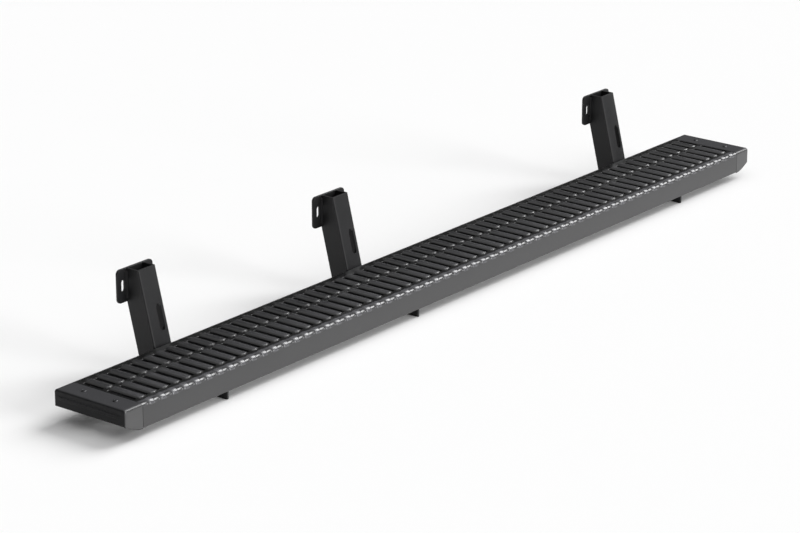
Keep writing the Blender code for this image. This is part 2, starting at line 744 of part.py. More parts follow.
def build():
    for old in list(bpy.data.objects):
        bpy.data.objects.remove(old)
    coat = finish_material("tread_powder_coat", (0.022, 0.022, 0.024), 0.55, 0.0)
    bracket_coat = finish_material("bracket_powder_coat", (0.014, 0.014, 0.015), 0.5, 0.0)
    plastic = finish_material("end_cap_plastic", (0.018, 0.018, 0.019), 0.6, 0.0)
    alloy = finish_material("track_anodised", (0.05, 0.05, 0.052), 0.45, 0.8)
    zinc = finish_material("fastener_zinc", (0.10, 0.10, 0.105), 0.38, 1.0)

    tread_board(coat)
    track("outboard_track", OUTBOARD_TRACK, alloy)
    track("inboard_track", INBOARD_TRACK, alloy)
    end_cap("front_end_cap", lambda s: s, plastic)
    end_cap("rear_end_cap", lambda s: BOARD_LENGTH - s, plastic)
    for side, t in (("outboard", OUTBOARD_TRACK), ("inboard", INBOARD_TRACK)):
        cap_screw(f"front_cap_{side}_screw", SCREW_INSET, t, zinc)
        cap_screw(f"rear_cap_{side}_screw", BOARD_LENGTH - SCREW_INSET, t, zinc)
    places = {
        "front": FRONT_BRACKET_INSET,
        "middle": MIDDLE_BRACKET_PLACE,
        "rear": BOARD_LENGTH - REAR_BRACKET_INSET,
    }
    for place, s in places.items():
        bracket(place, s, bracket_coat)
        body_plate(place, s, bracket_coat)
        for side, t in (("outboard", OUTBOARD_TRACK), ("inboard", INBOARD_TRACK)):
            track_bolt(f"{place}_{side}_track_bolt", bolt_line(s), t, zinc)
            washer(f"{place}_{side}_washer", bolt_line(s), t, zinc)
            nut(f"{place}_{side}_nut", bolt_line(s), t, zinc)


build()
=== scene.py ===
"""The looks of a running board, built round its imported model.

The frame's axes hold here: X runs to the rear, Y inboard and Z up, in metres. Shapes of the board
itself are worked out in board coordinates: s along it from its front end, t across it from the fascia
inboard, and h up from the plain deck.
"""

import logging
import math
from dataclasses import dataclass, field
from enum import Enum
from functools import cache

import bmesh
import bpy
import numpy as np
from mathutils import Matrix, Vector


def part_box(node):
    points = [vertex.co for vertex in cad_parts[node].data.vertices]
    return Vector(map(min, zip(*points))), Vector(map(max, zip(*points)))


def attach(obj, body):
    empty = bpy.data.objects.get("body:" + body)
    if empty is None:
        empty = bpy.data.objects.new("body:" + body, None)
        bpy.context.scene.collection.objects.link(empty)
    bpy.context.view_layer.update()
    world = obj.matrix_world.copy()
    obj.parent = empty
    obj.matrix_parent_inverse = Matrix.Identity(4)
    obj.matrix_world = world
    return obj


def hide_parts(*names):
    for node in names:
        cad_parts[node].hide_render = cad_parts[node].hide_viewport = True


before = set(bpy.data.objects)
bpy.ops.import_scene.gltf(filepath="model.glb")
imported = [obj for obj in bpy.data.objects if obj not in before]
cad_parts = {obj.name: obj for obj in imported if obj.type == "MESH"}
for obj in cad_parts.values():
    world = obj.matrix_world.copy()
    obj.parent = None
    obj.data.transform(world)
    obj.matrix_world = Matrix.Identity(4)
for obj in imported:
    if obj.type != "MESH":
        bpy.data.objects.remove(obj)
log = logging.getLogger("running_board")
ROOT = "root"
PLACES = ("front", "middle", "rear")
SIDES = ("outboard", "inboard")

# How close two points lie when they become one, in a new mesh and in a node's copy, in metres.
MERGE = 2e-6
NODE_MERGE = 1e-5


# Shader maths


class Wire:
    """One output socket, on which Python's operators add the Math nodes of an expression."""

    def __init__(self, graph: "Graph", socket: bpy.types.NodeSocket) -> None:
        """Wraps a socket of the graph's tree."""
        self.graph = graph
        self.socket = socket

    def _math(self, operation: str, *values: object) -> "Wire":
        """One Math node of that operation."""
        return self.graph.node("Math", {"operation": operation}, *values)

    def __add__(self, other: object) -> "Wire":
        """The sum."""
        return self._math("ADD", self, other)

    def __radd__(self, other: object) -> "Wire":
        """The sum, from the right."""
        return self._math("ADD", other, self)

    def __sub__(self, other: object) -> "Wire":
        """The difference."""
        return self._math("SUBTRACT", self, other)

    def __rsub__(self, other: object) -> "Wire":
        """The difference, from the right."""
        return self._math("SUBTRACT", other, self)

    def __mul__(self, other: object) -> "Wire":
        """The product."""
        return self._math("MULTIPLY", self, other)

    def __rmul__(self, other: object) -> "Wire":
        """The product, from the right."""
        return self._math("MULTIPLY", other, self)

    def __pow__(self, other: object) -> "Wire":
        """The power."""
        return self._math("POWER", self, other)

    def ramp(self, low: float, high: float) -> "Wire":
        """A smooth 0 to 1 as this value goes from low to high."""
        settings = {"interpolation_type": "SMOOTHSTEP"}
        return self.graph.node("MapRange", settings, self, low, high, 0.0, 1.0)


class Graph:
    """A node tree, to which one method adds every node."""

    def __init__(self, tree: bpy.types.NodeTree) -> None:
        """Wraps a node tree."""
        self.tree = tree

    def node(
        self, kind: str, settings: dict, *values: object, output: int | str = 0, **named: object
    ) -> Wire:
        """Any node of the tree.

        Args:
            kind: the node's type after ShaderNode.
            settings: attributes that are set before its sockets are.
            values: values or wires for its first inputs, in order, None to leave one.
            output: which output the wire reads.
            named: values or wires for inputs by name, with underscores for spaces.

        Returns:
            The node's output as a wire.
        """
        made = self.tree.nodes.new("ShaderNode" + kind)
        for key, value in settings.items():
            setattr(made, key, value)
        places = [(made.inputs[k], value) for k, value in enumerate(values) if value is not None]
        places += [(made.inputs[key.replace("_", " ")], value) for key, value in named.items()]
        for socket, value in places:
            self.fill(socket, value)
        return Wire(self, made.outputs[output])

    def fill(self, socket: bpy.types.NodeSocket, value: object) -> None:
        """Sets a socket to a value, or links a wire to it.

        Args:
            socket: the input.
            value: a value of the input's own kind, or a wire.
        """
        if isinstance(value, Wire):
            self.tree.links.new(value.socket, socket)
        else:
            socket.default_value = value

    def mix(self, amount: Wire, low: "tuple | Wire", high: "tuple | Wire") -> Wire:
        """A colour between two. The node's colours are its seventh and eighth inputs.

        Args:
            amount: 0 for the first colour, 1 for the second.
            low: the first colour, as a wire or three channels.
            high: the second colour.

        Returns:
            The mixed colour.
        """
        ends = [end if isinstance(end, Wire) else (*end, 1.0) for end in (low, high)]
        return self.node("Mix", {"data_type": "RGBA"}, amount, *[None] * 5, *ends, output=2)


class Shader(Graph):
    """A material's node tree. Constants go straight onto its Principled BSDF."""

    def __init__(self, name: str, colour: tuple[float, float, float], **constants: float) -> None:
        """Starts a material.

        Args:
            name: the material's name.
            colour: linear base colour.
            constants: other Principled sockets by name, with underscores for spaces.
        """
        self.material = bpy.data.materials.new(name)
        self.material.use_nodes = True
        super().__init__(self.material.node_tree)
        self.surface = self.tree.nodes["Principled BSDF"]
        self.surface.inputs["Base Color"].default_value = (*colour, 1.0)
        for socket, value in constants.items():
            self.surface.inputs[socket.replace("_", " ")].default_value = value

    def place(self) -> Wire:
        """Object coordinates."""
        return self.node("TexCoord", {}, output="Object")

    def noise(
        self, size: float, detail: float = 3.0, roughness: float = 0.55, stretch: tuple = (1, 1, 1)
    ) -> Wire:
        """Noise over the piece.

        Args:
            size: how large its features are, in metres.
            detail: how many finer octaves it has.
            roughness: how strong those are.
            stretch: how much longer its features are along each axis.

        Returns:
            The noise, 0 to 1.
        """
        scaled = self.node("Mapping", {}, self.place(), Scale=tuple(1 / size / k for k in stretch))
        values = {"Scale": 1.0, "Detail": detail, "Roughness": roughness}
        return self.node("TexNoise", {}, output="Fac", Vector=scaled, **values)

    def cells(self, size: float, feature: str = "F1") -> Wire:
        """Distance from the nearest of scattered points that lie about that far apart."""
        return self.node("TexVoronoi", {"feature": feature}, self.place(), output="Distance", Scale=1 / size)

    def height(self) -> Wire:
        """Z in the frame."""
        return self.node("SeparateXYZ", {}, self.place(), output="Z")

    def breadth(self) -> Wire:
        """Y in the frame."""
        return self.node("SeparateXYZ", {}, self.place(), output="Y")

    def upness(self) -> Wire:
        """How far the surface faces up: 1 up, 0 upright, -1 down."""
        normal = self.node("NewGeometry", {}, output="Normal")
        return self.node("SeparateXYZ", {}, normal, output="Z")

    def outness(self) -> Wire:
        """How far the surface faces outboard: 1 outboard, -1 inboard."""
        normal = self.node("NewGeometry", {}, output="Normal")
        return 0.0 - self.node("SeparateXYZ", {}, normal, output="Y")

    def edges(self, radius: float) -> Wire:
        """Convex edges: a smooth step of 1 less the product of the true and the bevelled normal.

        Args:
            radius: how far from an edge it counts, in metres.

        Returns:
            Near 1 on an edge and 0 away from it.
        """
        plain = self.node("NewGeometry", {}, output="Normal")
        round_normal = self.node("Bevel", {"samples": 4}, Radius=radius)
        same = self.node("VectorMath", {"operation": "DOT_PRODUCT"}, plain, round_normal, output="Value")
        return (1.0 - same).ramp(0.01, 0.25)

    def drive(self, **sockets: Wire) -> None:
        """Links wires to the Principled BSDF's sockets."""
        for key, wire in sockets.items():
            self.fill(self.surface.inputs[key.replace("_", " ")], wire)

    def relief(self, wire: Wire, depth: float) -> Wire:
        """A bump whose 0 to 1 stands for that depth in metres."""
        return self.node("Bump", {}, output="Normal", Strength=1.0, Distance=depth, Height=wire)


# Finishes

DUST = (0.17, 0.165, 0.155)


def shade(colour: tuple[float, float, float], share: float) -> tuple[float, float, float]:
    """A colour made lighter or darker by one factor."""
    return tuple(min(1.0, channel * share) for channel in colour)


@dataclass(frozen=True)
class PowderCoat:
    """A baked powder coat: fine pebbled grain, a soft sheen, a little dust on what faces up."""

    name: str
    colour: tuple[float, float, float]
    roughness: float
    grain: float
    depth: float
    dust: float
    specular: float
    cloud: float = 0.09
    dust_patch: float = 0.035
    edge_highlight_patch: float = 0.004
    edge: float = 0.0012
    edge_highlight: float = 2.6
    edge_highlight_share: float = 0.35

    def start(self) -> Shader:
        """The coat's shader, with its constants."""
        return Shader(self.name, self.colour, Roughness=self.roughness, Specular_IOR_Level=self.specular)

    def clouds(self, shader: Shader) -> tuple[Wire, Wire]:
        """Soft clouds over the coat.

        Args:
            shader: the coat's shader.

        Returns:
            The clouds, 0 to 1, and the coat's colour darker and lighter by them.
        """
        cloud = shader.noise(self.cloud, 4.0, 0.6)
        return cloud, shader.mix(cloud.ramp(0.3, 0.7), shade(self.colour, 0.88), shade(self.colour, 1.14))

    def dusting(self, shader: Shader) -> Wire:
        """Patches of dust on what faces up, 0 to 1."""
        lying = shader.upness().ramp(0.2, 0.95)
        return shader.noise(self.dust_patch, 5.0, 0.65).ramp(0.42, 0.75) * lying * self.dust

    def pebbles(self, shader: Shader) -> Wire:
        """The grain as relief: three parts of rounded cells and one of finer noise."""
        cells, fine = shader.cells(self.grain, "SMOOTH_F1"), shader.noise(self.grain * 0.5, 2.0)
        return shader.relief(cells * 0.75 + fine * 0.25, self.depth)

    def material(self) -> bpy.types.Material:
        """The coat with dust on it, and painted highlights in patches on its edges.

        Returns:
            The node material.
        """
        shader = self.start()
        cloud, tone = self.clouds(shader)
        dusty = self.dusting(shader)
        # Painted highlight: convex edges paler in noise patches.
        edge_highlight = shader.edges(self.edge) * shader.noise(self.edge_highlight_patch, 3.0).ramp(0.35, 0.8)
        tone = shader.mix(dusty, tone, DUST)
        tone = shader.mix(edge_highlight * self.edge_highlight_share, tone, shade(self.colour, self.edge_highlight))
        rough = self.roughness + (cloud - 0.5) * 0.10 + dusty * 0.3 - edge_highlight * 0.08
        shader.drive(Base_Color=tone, Roughness=rough, Normal=self.pebbles(shader))
        return shader.material


@dataclass(frozen=True)
class TreadCoat(PowderCoat):
    """The tread's coat: painted highlight on the ridges' crests, more so outboard, and most on the nose,
    and painted shade between them. Their factors multiply its colour.

    Attributes:
        deck: Z of the plain deck.
        nose: Y and Z of the nose's axis, and its radius.
        tread: where the crests' painted highlight begins and ends to fade, inboard of the nose's axis.
        land: where the nose's painted highlight begins and ends to fade, inboard of that axis.
        inboard_dimming: how much of the crests' painted highlight is gone at the inboard side.
    """

    deck: float = 0.064
    ridge: float = 0.0022
    nose: tuple[float, float, float] = (-0.12005, 0.0571, 0.006)
    tread: tuple[float, float] = (0.01, 0.12)
    land: tuple[float, float] = (0.004, 0.011)
    scuff_and_highlight_patch: float = 0.006
    scuff_and_highlight_factor: float = 5.6
    nose_highlight: float = 9.0
    valley_shade: float = 0.25
    inboard_dimming: float = 0.7

    def crests(self, shader: Shader) -> Wire:
        """The ridges' upper parts, 0 to 1, fainter inboard: the mask of the crests' painted highlight."""
        outboard_lift = 1.0 - (shader.breadth() - self.nose[0]).ramp(*self.tread) * self.inboard_dimming
        return shader.height().ramp(self.deck + 0.35 * self.ridge, self.deck + 0.95 * self.ridge) * outboard_lift

    def valleys(self, shader: Shader) -> Wire:
        """What faces up between the ridges, 0 to 1."""
        above = shader.height().ramp(self.deck, self.deck + 0.6 * self.ridge)
        return (1.0 - above) * shader.upness().ramp(0.2, 0.95)

    def nosing(self, shader: Shader) -> tuple[Wire, Wire]:
        """The nose and its beads. A bead is where the distance from the nose's axis, the root of
        across^2 + up^2, passes the nose's radius.

        Args:
            shader: the coat's shader.

        Returns:
            Where the nose is, and where a bead is on it, each 0 to 1.
        """
        across, up = shader.breadth() - self.nose[0], shader.height() - self.nose[1]
        radius = self.nose[2]
        nose = (1.0 - across.ramp(*self.land)) * up.ramp(-0.0015, 0.0015)
        bead = ((across * across + up * up) ** 0.5).ramp(radius + 0.0004, radius + 0.9 * self.ridge)
        return nose, bead

    def material(self) -> bpy.types.Material:
        """The coat, clean, then with painted highlight on the crests, painted shade in the valleys, painted
        highlight on the nose, and dust, in turn.

        Returns:
            The node material.
        """
        shader = self.start()
        cloud, tone = self.clouds(shader)
        patchy = 0.6 + 0.4 * shader.noise(self.scuff_and_highlight_patch, 4.0, 0.7).ramp(0.3, 0.7)
        crest = self.crests(shader) * patchy
        nose, bead = self.nosing(shader)
        dusty = self.dusting(shader)
        # Painted highlight: the ridges' crests lighter, fading inboard, in patches.
        tone = shader.mix(crest, tone, shade(self.colour, self.scuff_and_highlight_factor))
        # Painted shade: what faces up between the ridges darker, away from the nose.
        tone = shader.mix(self.valleys(shader) * (1.0 - nose), tone, shade(self.colour, self.valley_shade))
        # Painted highlight: the nose and its beads much lighter, in patches.
        tone = shader.mix(nose * (0.3 + 0.7 * bead) * patchy, tone, shade(self.colour, self.nose_highlight))
        tone = shader.mix(dusty, tone, DUST)
        rough = self.roughness + (cloud - 0.5) * 0.10 + crest * 0.06 + dusty * 0.3
        shader.drive(Base_Color=tone, Roughness=rough, Normal=self.pebbles(shader))
        return shader.material


@dataclass(frozen=True)
class MouldedPlastic:
    """A moulded plastic with a leather-fine grain and faint flow marks, painted paler as painted light where
    it faces up, and polished where legs brush along what faces outboard."""

    name: str
    colour: tuple[float, float, float]
    roughness: float
    grain: float
    depth: float
    specular: float = 0.18
    polish_roughness: float = 0.34
    polish_index: float = 1.8
    flow: float = 0.02
    scuff_and_highlight_patch: float = 0.012
    scuff_and_highlight_factor: float = 4.0
    painted_top_light: float = 3.4

    def start(self) -> Shader:
        """The plastic's shader, with its constants."""
        polish = {"Coat_Roughness": self.polish_roughness, "Coat_IOR": self.polish_index}
        return Shader(
            self.name, self.colour, Roughness=self.roughness, Specular_IOR_Level=self.specular, **polish
        )

    def material(self) -> bpy.types.Material:
        """The plastic with its flow marks, painted light on what faces up and scuffs in turn, and its
        polish.

        Returns:
            The node material.
        """
        shader = self.start()
        flow = shader.noise(self.flow, 3.0, 0.5, (3.0, 1.0, 1.0))
        scuffs = shader.noise(self.scuff_and_highlight_patch, 6.0, 0.7, (0.4, 3.0, 1.0)).ramp(0.62, 0.78)
        tone = shader.mix(flow.ramp(0.3, 0.7), shade(self.colour, 0.9), shade(self.colour, 1.12))
        # Painted light: what faces up paler.
        tone = shader.mix(shader.upness().ramp(0.5, 1.0) * 0.9, tone, shade(self.colour, self.painted_top_light))
        tone = shader.mix(scuffs * 0.15, tone, shade(self.colour, self.scuff_and_highlight_factor))
        rough = self.roughness + (flow - 0.5) * 0.08 + scuffs * 0.06
        polish = shader.outness().ramp(0.4, 0.95)
        surface = shader.relief(shader.cells(self.grain), self.depth)
        shader.drive(Base_Color=tone, Roughness=rough, Coat_Weight=polish, Normal=surface)
        return shader.material


@dataclass(frozen=True)
class PlatedSteel:
    """Plated steel: mottled black zinc, with painted highlights on its edges."""

    name: str
    colour: tuple[float, float, float]
    roughness: float
    mottle: float = 0.003
    edge: float = 0.0006
    depth: float = 0.00004
    bright: float = 2.2

    def material(self) -> bpy.types.Material:
        """The plating, mottled, then with painted highlights on its edges.

        Returns:
            The node material.
        """
        shader = Shader(self.name, self.colour, Roughness=self.roughness, Metallic=1.0)
        mottle = shader.noise(self.mottle, 4.0, 0.6)
        edges = shader.edges(self.edge)
        tone = shader.mix(mottle.ramp(0.3, 0.7), shade(self.colour, 0.75), shade(self.colour, 1.2))
        # Painted highlight: the edges brighter.
        tone = shader.mix(edges * 0.5, tone, shade(self.colour, self.bright))
        rough = self.roughness + (mottle - 0.5) * 0.2
        shader.drive(Base_Color=tone, Roughness=rough, Normal=shader.relief(mottle, self.depth))
        return shader.material


@dataclass(frozen=True)
class AnodisedAlloy:
    """A drawn and anodised channel, with fine lines along it."""

    name: str
    colour: tuple[float, float, float]
    roughness: float
    line: float = 0.0008
    drawn: float = 60.0
    cloud: float = 0.06
    depth: float = 0.00003

    def material(self) -> bpy.types.Material:
        """The anodising, clouded, over the lines that drawing leaves.

        Returns:
            The node material.
        """
        shader = Shader(self.name, self.colour, Roughness=self.roughness, Metallic=0.85)
        lines = shader.noise(self.line, 2.0, 0.5, (self.drawn, 1.0, 1.0))
        cloud = shader.noise(self.cloud, 3.0)
        tone = shader.mix(cloud.ramp(0.3, 0.7), shade(self.colour, 0.85), shade(self.colour, 1.15))
        rough = self.roughness + (lines - 0.5) * 0.16
        shader.drive(Base_Color=tone, Roughness=rough, Normal=shader.relief(lines, self.depth))
        return shader.material


class Finish(Enum):
    """The named finishes of the board's pieces."""

    TREAD = TreadCoat("tread_powder_coat", (0.011, 0.011, 0.012), 0.31, 0.0011, 0.00006, 0.04, 1.0)
    BRACKET = PowderCoat("bracket_powder_coat", (0.017, 0.017, 0.018), 0.44, 0.0010, 0.00010, 0.05, 0.25)
    CAP = MouldedPlastic("end_cap_plastic", (0.014, 0.014, 0.015), 0.50, 0.0007, 0.00005)
    TRACK = AnodisedAlloy("track_anodising", (0.045, 0.045, 0.048), 0.42)
    ZINC = PlatedSteel("black_zinc", (0.10, 0.10, 0.105), 0.38)


@cache
def material_of(finish: Finish) -> bpy.types.Material:
    """The material of a finish, made once."""
    return finish.value.material()


# Meshes from arrays


class Patchwork:
    """Surface patches, each a grid of points, gathered into one mesh."""

    def __init__(self) -> None:
        """Starts with nothing."""
        self.points: list[np.ndarray] = []
        self.faces: list[np.ndarray] = []
        self.count = 0

    def grid(self, points: np.ndarray, wrap: bool = False) -> None:
        """Quads over one grid or over many grids at once.

        Args:
            points: (..., rows, columns, 3) points. Leading axes are separate grids.
            wrap: whether each row closes on itself.
        """
        index = np.arange(points[..., 0].size).reshape(points.shape[:-1]) + self.count
        if wrap:
            index = np.concatenate([index, index[..., :1]], axis=-1)
        quads = [index[..., :-1, :-1], index[..., :-1, 1:], index[..., 1:, 1:], index[..., 1:, :-1]]
        self.points.append(points.reshape(-1, 3))
        self.faces.append(np.stack(quads, axis=-1).reshape(-1, 4))
        self.count += points[..., 0].size

    def piece(self, name: str, finish: Finish, smooth_angle: float = 40.0) -> bpy.types.Object:
        """The mesh as an object at the origin, its doubles merged and its faces turned out.

        Args:
            name: the piece's name.
            finish: what covers it.
            smooth_angle: edges sharper than this, in degrees, stay sharp.

        Returns:
            The new object.
        """
        points, faces = np.concatenate(self.points), np.concatenate(self.faces)
        data = bpy.data.meshes.new(name)
        data.vertices.add(len(points))
        data.vertices.foreach_set("co", points.astype(np.float32).ravel())
        data.loops.add(faces.size)
        data.loops.foreach_set("vertex_index", faces.astype(np.int32).ravel())
        data.polygons.add(len(faces))
        data.polygons.foreach_set("loop_start", np.arange(0, faces.size, 4, dtype=np.int32))
        data.update(calc_edges=True)
        return dress(data, name, finish, smooth_angle)


def dress(data: bpy.types.Mesh, name: str, finish: Finish, smooth_angle: float) -> bpy.types.Object:
    """Cleans a mesh, shades it smooth and makes it an object with a finish.

    Args:
        data: the mesh.
        name: the piece's name.
        finish: what covers it.
        smooth_angle: edges sharper than this, in degrees, stay sharp.

    Returns:
        The new object, at the origin.
    """
    work = bmesh.new()
    work.from_mesh(data)
    bmesh.ops.remove_doubles(work, verts=work.verts, dist=MERGE)
    bmesh.ops.dissolve_degenerate(work, edges=work.edges, dist=MERGE)
    bmesh.ops.recalc_face_normals(work, faces=work.faces)
    work.to_mesh(data)
    work.free()
    data.shade_smooth()
    data.set_sharp_from_angle(angle=math.radians(smooth_angle))
    made = bpy.data.objects.new(name, data)
    bpy.context.scene.collection.objects.link(made)
    data.materials.append(material_of(finish))
    return made


def settle(made: bpy.types.Object, slot: str, *nodes: str) -> None:
    """Lets a piece ride on the body and stand for CAD nodes, which it hides.

    Args:
        made: the piece.
        slot: the record's slot; not used.
        nodes: the nodes that it stands for, none for a piece of the scene alone.
    """
    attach(made, ROOT)
    if nodes:
        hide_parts(*nodes)
    log.info("%s: %d faces", made.name, len(made.data.polygons))


def smooth(value: np.ndarray) -> np.ndarray:
    """Smoothstep: 3x^2 - 2x^3 of the value held to 0 and 1."""
    x = np.clip(value, 0, 1)
    return x * x * (3 - 2 * x)


def sweep(centre: tuple[float, float], radius: float, start: float, end: float, steps: int) -> np.ndarray:
    """Points of an arc: centre + radius x (cosine, sine) of angles in degrees, in even steps."""
    angles = np.radians(np.linspace(start, end, steps + 1))
    return np.stack([centre[0] + radius * np.cos(angles), centre[1] + radius * np.sin(angles)], axis=-1)


def carry(s: np.ndarray, t: np.ndarray, h: np.ndarray) -> np.ndarray:
    """Points (s, t, h) over a grid, each given as an array that fits the others."""
    return np.stack(np.broadcast_arrays(s, t, h), axis=-1)


# The board


@dataclass(frozen=True)
class Datum:
    """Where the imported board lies: its ends, its outboard and inboard faces, and its deck."""

    start: float
    end: float
    outboard: float
    inboard: float
    deck: float
    ridge: float
    steel_start: float
    steel_end: float
    fascia_low: float
    flange_low: float

    @classmethod
    def from_frame(cls) -> "Datum":
        """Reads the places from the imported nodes.

        Returns:
            The places, with heights from the deck.
        """
        front, rear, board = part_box("front_end_cap"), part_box("rear_end_cap"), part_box("tread_board")
        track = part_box("outboard_track")
        return cls(
            start=front[0].x,
            end=rear[1].x,
            outboard=front[0].y,
            inboard=front[1].y,
            deck=front[1].z,
            ridge=board[1].z - front[1].z,
            steel_start=board[0].x - front[0].x,
            steel_end=board[1].x - front[0].x,
            fascia_low=front[0].z - front[1].z,
            flange_low=track[0].z - front[1].z,
        )

    @property
    def length(self) -> float:
        """The board's overall length."""
        return self.end - self.start

    @property
    def width(self) -> float:
        """The board's overall width."""
        return self.inboard - self.outboard

    def world(self, points: np.ndarray) -> np.ndarray:
        """Points in board coordinates, moved into the frame."""
        return points + np.array([self.start, self.outboard, self.deck])


@dataclass
class TreadBoard:
    """The folded, ridged and slotted sheet.

    Its skin is a section path carried along the board. Ridges lift it along its normal by
    ridge height x across(s) x along(t), where across is a flat-topped bar with smooth sides and
    along is 1 inside a row and falls smoothly to 0 at its ends.

    Attributes:
        side_shares: where a ridge's side has vertices, as parts of the side.
        slope_shares: where a ridge's end has them, as parts of its end slope.
        nose_feet: heights near the foot of the nose's ridges, from that foot.
        nose_fade: places where the nose's ridges run out on the land, from where they begin to,
            with the height that is left at each in nose_fade_shares.
        nose_turn: where the nose's arc begins and ends, in degrees. The crowned land follows it.
        crown: how far the land falls towards the nose.
        rows: where the rows of slots begin and end.
        slot_land: plain deck between a slot's end and its row's.
        rim: radius of the slots' rolled rims, and rim_turn the part of it halfway round.
        ring_shares: rings round a slot above the sheet, with those below it in under_shares.
    """

    datum: Datum
    pitch: float = 0.0305
    ridge_foot: float = 0.0185
    ridge_top: float = 0.0108
    side_shares: tuple[float, ...] = (0.0, 0.3, 0.7, 1.0)
    end_slope: float = 0.0042
    slope_shares: tuple[float, ...] = (0.0, 0.2, 0.4, 0.6, 0.8, 1.0, 2.6)
    sheet: float = 0.0025
    nose: float = 0.006
    nose_step: float = 0.0012
    nose_feet: tuple[float, ...] = (-0.002, 0.0, 0.0008)
    nose_foot_share: float = 0.85
    nose_ridge_end: float = 0.0115
    nose_fade: tuple[float, ...] = (0.0, 0.0012, 0.0025, 0.0037)
    nose_fade_shares: tuple[float, ...] = (1.0, 0.78, 0.22, 0.0)
    nose_turn: tuple[float, float] = (180, 96)
    nose_steps: int = 6
    crown: float = 0.0009
    bend: float = 0.006
    bend_steps: int = 4
    lip: float = 0.016
    lip_bend: float = 0.004
    lip_steps: int = 3
    inboard_lip_steps: int = 2
    rows: tuple[float, ...] = (0.019, 0.098, 0.158)
    slot_width: float = 0.0086
    slot_land: float = 0.0055
    rim: float = 0.0006
    rim_turn: float = 0.3
    ring_shares: tuple[float, ...] = (0.0, 0.52, 0.66, 0.82, 1.0)
    under_shares: tuple[float, ...] = (1.0, 0.7, 0.0)
    columns: int = field(init=False)

    def __post_init__(self) -> None:
        """Counts the columns of slots that the steel has room for."""
        room = self.datum.steel_end - self.datum.steel_start - self.pitch + self.ridge_foot
        self.columns = int(room / self.pitch) + 1

    @property
    def centres(self) -> np.ndarray:
        """Where the columns of slots lie along the board."""
        first = (self.datum.length - (self.columns - 1) * self.pitch) / 2
        return first + self.pitch * np.arange(self.columns)

    @property
    def stations(self) -> np.ndarray:
        """Places across one pitch, from one ridge's middle to the next, close on the ridges' sides.

        Returns:
            The places, from the slot's middle.
        """
        half, foot, top = self.pitch / 2, self.ridge_foot / 2, self.ridge_top / 2
        side = half - foot + (foot - top) * np.array(self.side_shares)
        right = np.append(side, half)
        return np.concatenate([-right[::-1], right])

    @property
    def squeeze(self) -> float:
        """How much narrower the outer cells are towards the sheet's ends than half a pitch."""
        return (self.centres[0] - self.datum.steel_start) / (self.pitch / 2)

    def groups(self) -> list[tuple[np.ndarray, tuple[float, float]]]:
        """The columns in three groups, with how much each group's cells narrow on either side.

        Returns:
            Each group's places, with its shares of the full width before and after them.
        """
        centres = self.centres
        return [
            (centres[:1], (self.squeeze, 1.0)),
            (centres[1:-1], (1.0, 1.0)),
            (centres[-1:], (1.0, self.squeeze)),
        ]

    def across(self, s: np.ndarray) -> np.ndarray:
        """The ridges' height along the board: smooth bars halfway between the slots. It is
        1 - smoothstep((distance to the nearest ridge - top / 2) / ((foot - top) / 2)).

        Args:
            s: places along the board.

        Returns:
            The height at each, 0 to 1.
        """
        first = self.centres[0] + self.pitch / 2
        nearest = np.clip(np.round((s - first) / self.pitch), 0, self.columns - 2)
        away = np.abs(s - first - nearest * self.pitch)
        return 1 - smooth((away - self.ridge_top / 2) / ((self.ridge_foot - self.ridge_top) / 2))

    def along(self, t: np.ndarray) -> np.ndarray:
        """The ridges' height across the deck: smoothstep(distance to the row's end / slope).

        Args:
            t: places across the deck.

        Returns:
            The height at each, 0 to 1.
        """
        height = np.zeros_like(t)
        for low, high in zip(self.rows, self.rows[1:]):
            near = np.minimum(t - low, high - t)
            height = np.maximum(height, smooth(near / self.end_slope))
        return height

    def section(self, depth: float) -> tuple[np.ndarray, np.ndarray, np.ndarray]:
        """The skin's outboard part, from the lip to the first row, that deep into the sheet. The
        land behind the nose falls by crown x ((row - t) / (row - nose radius))^2.

        Args:
            depth: 0 for the outer skin, the sheet's thickness for the inner one.

        Returns:
            Points (t, h), their outward normals, and the nose ridges' share at each.
        """
        low, r, b = self.datum.fascia_low, self.nose, self.lip_bend
        feet = -r - self.crown - self.nose_step + np.array(self.nose_feet)
        deck = np.append(self.nose_ridge_end + np.array(self.nose_fade), self.rows[0])
        fall = self.crown * ((self.rows[0] - deck) / (self.rows[0] - r)) ** 2
        lip, nose = (270, 180, self.lip_steps), (*self.nose_turn, self.nose_steps)
        points = [np.array([[self.lip, low + depth]]), sweep((b, low + b), b - depth, *lip)]
        points.append(np.stack([np.full_like(feet, depth), feet], axis=-1))
        points.append(sweep((r, -r - self.crown), r - depth, *nose))
        points.append(np.stack([deck, -depth - fall], axis=-1))
        normals = [np.array([[0.0, -1.0]]), sweep((0, 0), 1, *lip), np.array([[-1.0, 0.0]] * len(feet))]
        normals += [sweep((0, 0), 1, *nose), np.array([[0.0, 1.0]] * len(deck))]
        plain = len(points[0]) + len(points[1]) + len(feet) - 1
        share = [np.zeros(plain), [self.nose_foot_share], np.ones(len(points[3]))]
        share += [self.nose_fade_shares, [0.0]]
        return np.concatenate(points), np.concatenate(normals), np.concatenate(share)

    def flange(self, depth: float) -> np.ndarray:
        """The skin's inboard part, from the last row to the inboard lip, that deep in.

        Args:
            depth: 0 for the outer skin, the sheet's thickness for the inner one.

        Returns:
            Points (t, h).
        """
        width, low, r, b = self.datum.width, self.datum.flange_low, self.bend, self.lip_bend
        points = [np.array([[self.rows[-1], -depth]])]
        points.append(sweep((width - r, -r), r - depth, 90, 0, self.bend_steps))
        points.append(sweep((width - b, low + b), b - depth, 0, -90, self.inboard_lip_steps))
        points.append(np.array([[width - self.lip, low + depth]]))
        return np.concatenate(points)

    def line(self) -> np.ndarray:
        """All places along the board where the skirts have a vertex.

        Returns:
            The places, from the steel's front end to its rear end.
        """
        places = []
        for centres, (left, right) in self.groups():
            offsets = self.stations * np.where(self.stations < 0, left, right)
            places.append((centres[:, None] + offsets[None, :-1]).ravel())
        return np.append(np.concatenate(places), self.datum.steel_end)

